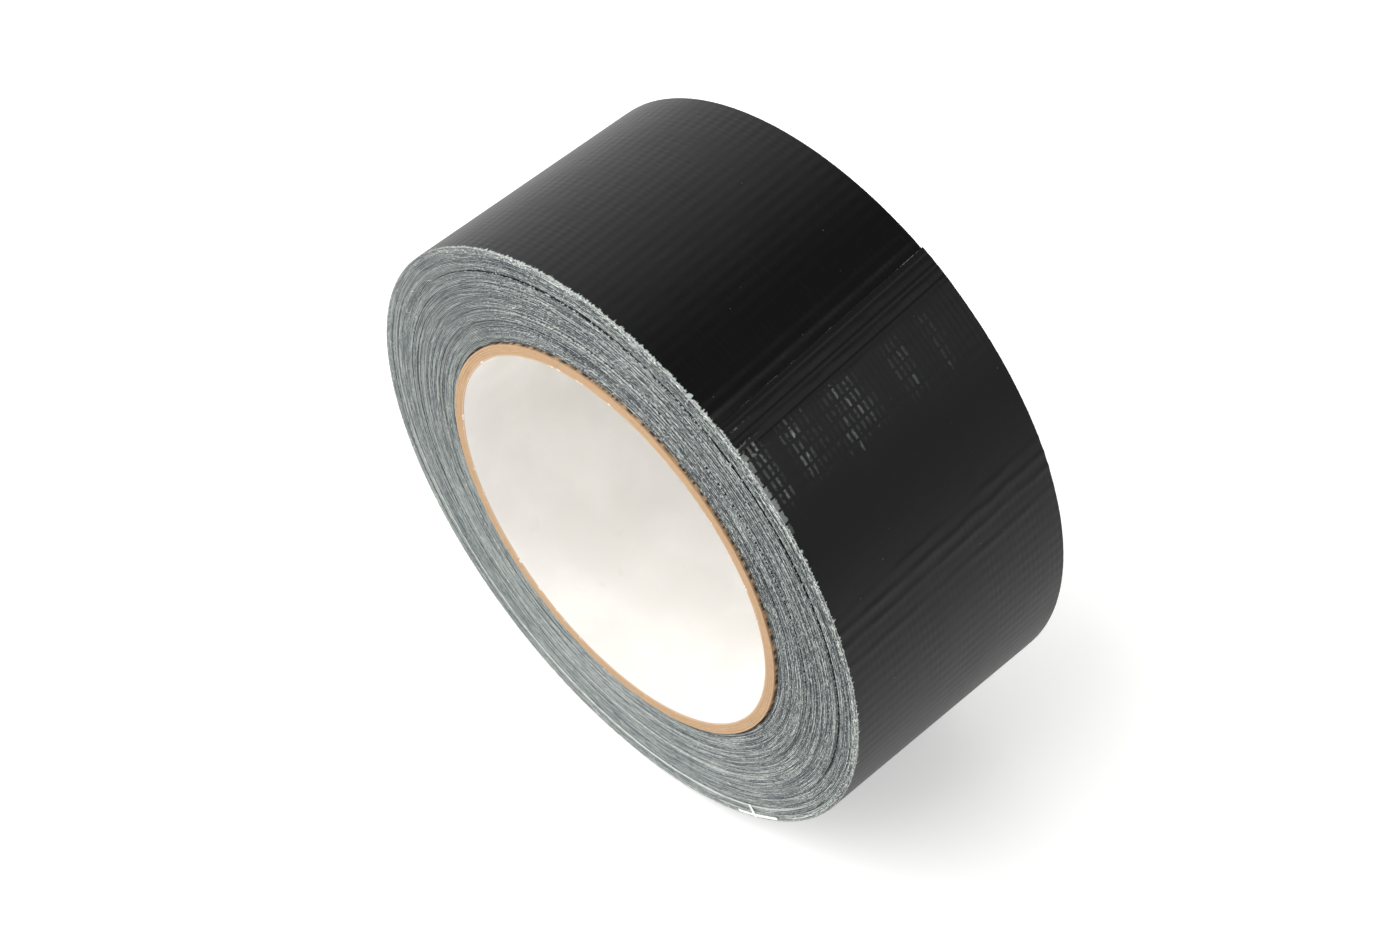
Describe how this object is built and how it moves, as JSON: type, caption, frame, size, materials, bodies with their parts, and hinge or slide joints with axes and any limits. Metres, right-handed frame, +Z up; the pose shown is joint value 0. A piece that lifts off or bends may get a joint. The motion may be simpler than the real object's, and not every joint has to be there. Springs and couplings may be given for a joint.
{
  "type": "duct tape roll",
  "caption": "Roll of black cloth-backed duct tape on a paperboard core, standing on its rim, with a loose tail that peels back from its outermost turn.",
  "frame": {"origin": "centre of the core's bore, halfway along it", "axes": "+Y along the bore toward the back of the roll, the front side faces -Y, +Z up, and the roll stands on its rim at the lowest Z"},
  "size_m": [0.1189, 0.0512, 0.1188],
  "materials": {
    "liner_paper": "matte",
    "kraft_board": "matte",
    "wound_tape": "matte",
    "adhesive": "satin",
    "cloth": "matte",
    "black_film": "satin"
  },
  "bodies": {
    "roll": {"core_liner": "liner_paper", "core_ply_1": "kraft_board", "core_ply_2": "kraft_board", "core_ply_3": "kraft_board", "core_ply_4": "kraft_board", "winding_1": "wound_tape", "winding_2": "wound_tape", "winding_3": "wound_tape", "winding_4": "wound_tape", "winding_5": "wound_tape", "winding_6": "wound_tape", "winding_7": "wound_tape", "outer_turn_adhesive": "adhesive", "outer_turn_scrim": "cloth", "outer_turn_film": "black_film"},
    "tail_1": {"tail_1_adhesive": "adhesive", "tail_1_scrim": "cloth", "tail_1_film": "black_film"},
    "tail_2": {"tail_2_adhesive": "adhesive", "tail_2_scrim": "cloth", "tail_2_film": "black_film"},
    "tail_3": {"tail_3_adhesive": "adhesive", "tail_3_scrim": "cloth", "tail_3_film": "black_film"},
    "tail_4": {"tail_4_adhesive": "adhesive", "tail_4_scrim": "cloth", "tail_4_film": "black_film"}
  },
  "joints": [
    {"name": "tail_peel", "type": "hinge", "parent": "roll", "child": "tail_1", "pos_m": [0.05444, 0, 0.02429], "axis": [0, 1, 0], "range_deg": [0, 90]},
    {"name": "tail_bend_1", "type": "hinge", "parent": "tail_1", "child": "tail_2", "pos_m": [0.04919, 0, 0.0337], "axis": [0, 1, 0], "range_deg": [0, 20]},
    {"name": "tail_bend_2", "type": "hinge", "parent": "tail_2", "child": "tail_3", "pos_m": [0.04232, 0, 0.04201], "axis": [0, 1, 0], "range_deg": [0, 20]},
    {"name": "tail_bend_3", "type": "hinge", "parent": "tail_3", "child": "tail_4", "pos_m": [0.03407, 0, 0.04894], "axis": [0, 1, 0], "range_deg": [0, 20]}
  ]
}
